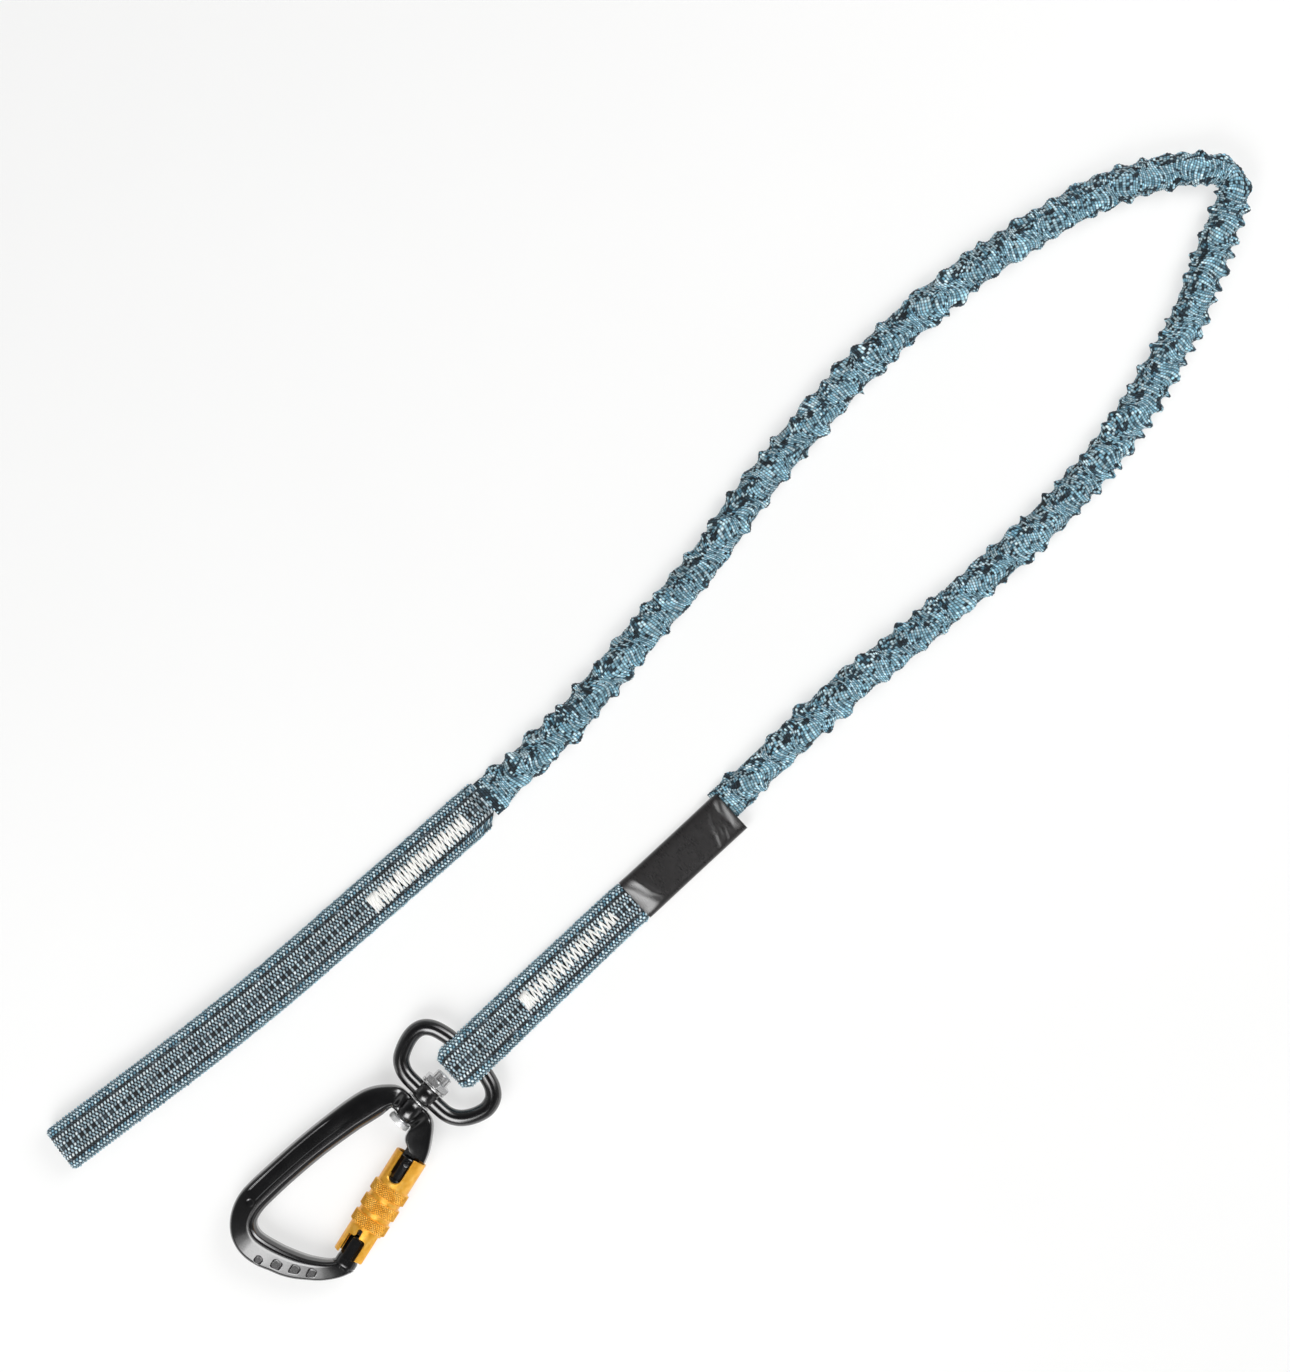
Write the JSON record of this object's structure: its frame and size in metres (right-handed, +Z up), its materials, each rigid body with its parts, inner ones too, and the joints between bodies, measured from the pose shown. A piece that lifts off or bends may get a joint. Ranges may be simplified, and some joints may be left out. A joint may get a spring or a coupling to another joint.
{
  "type": "elastic tool lanyard",
  "caption": "Elastic tether of gathered webbing with a flat sewn choke loop at one end and a swivel eye with a sleeve-locking carabiner at the other.",
  "frame": {"origin": "middle of the lanyard's footprint on the surface it lies on", "axes": "+X along the lanyard from its two ends towards the bend of the bungee, +Y from the carabiner to the choke loop, +Z up from the surface"},
  "size_m": [0.4504, 0.093, 0.0115],
  "materials": {
    "webbing": "woven steel-blue and charcoal webbing",
    "thread": "off-white sewing thread",
    "label": "satin black woven tape",
    "core": "natural rubber",
    "black": "black anodised forging",
    "gold": "gold anodised, knurled",
    "steel": "plated steel"
  },
  "bodies": {
    "bungee": {"bungee_cover": "webbing", "elastic_core": "core"},
    "choke_end": {"choke_loop_webbing": "webbing", "choke_stitch_thread": "thread", "choke_bobbin_thread": "thread"},
    "swivel_end": {"end_loop_webbing": "webbing", "end_stitch_thread": "thread", "end_bobbin_thread": "thread", "hidden_bartack_thread": "label", "label_sleeve": "label"},
    "eye": {"swivel_eye": "black"},
    "carabiner": {"carabiner_body": "black", "gate_hinge_pin": "steel", "swivel_bolt": "steel", "swivel_nut": "steel", "bolt_head_washer": "steel", "nut_washer": "steel", "thrust_washer": "steel"},
    "gate": {"gate": "black", "sleeve_guide_pin": "steel", "gate_spring": "steel", "sleeve_spring": "steel"},
    "plunger": {"gate_plunger": "steel"},
    "collar": {"sleeve_collar": "steel"},
    "sleeve": {"locking_sleeve": "gold"}
  },
  "joints": [
    {"name": "swivel_end_stretch", "type": "slide", "parent": "bungee", "child": "swivel_end", "axis": [-0.9994, 0.034, 0], "range_m": [0, 0.13], "stiffness_N_per_m": 400, "deforming": ["bungee_cover", "elastic_core"]},
    {"name": "choke_end_stretch", "type": "slide", "parent": "bungee", "child": "choke_end", "axis": [-0.998, 0.063, 0], "range_m": [0, 0.1509], "stiffness_N_per_m": 340},
    {"name": "eye_flip", "type": "hinge", "parent": "swivel_end", "child": "eye", "pos_m": [-0.11927, -0.02488, 0.00575], "axis": [0, 1, 0], "range_deg": [-100, 100]},
    {"name": "swivel_spin", "type": "hinge", "parent": "eye", "child": "carabiner", "pos_m": [-0.13927, -0.02488, 0.00575], "axis": [1, 0, 0], "continuous": true},
    {"name": "gate_open", "type": "hinge", "parent": "carabiner", "child": "gate", "pos_m": [-0.15437, -0.03529, 0.00575], "axis": [0, 0, -1], "range_deg": [0, 21], "stiffness_Nm_per_rad": 0.12, "springref_deg": -17.19},
    {"name": "plunger_travel", "type": "slide", "parent": "gate", "child": "plunger", "axis": [-0.9751, -0.2215, 0], "range_m": [0, 0.0005], "deforming": ["gate_spring"]},
    {"name": "sleeve_push", "type": "slide", "parent": "gate", "child": "collar", "axis": [-0.9751, -0.2215, 0], "range_m": [0, 0.002], "stiffness_N_per_m": 500, "springref_m": -0.002, "deforming": ["sleeve_spring"]},
    {"name": "sleeve_turn", "type": "hinge", "parent": "collar", "child": "sleeve", "pos_m": [-0.16875, -0.03856, 0.00575], "axis": [0.9751, 0.2215, 0], "range_deg": [-90, 0]}
  ],
  "couplings": [
    {"joint": "choke_end_stretch", "follows": "swivel_end_stretch", "ratio": 1.16},
    {"joint": "plunger_travel", "follows": "gate_open", "m_per_rad": 0.0013628}
  ]
}
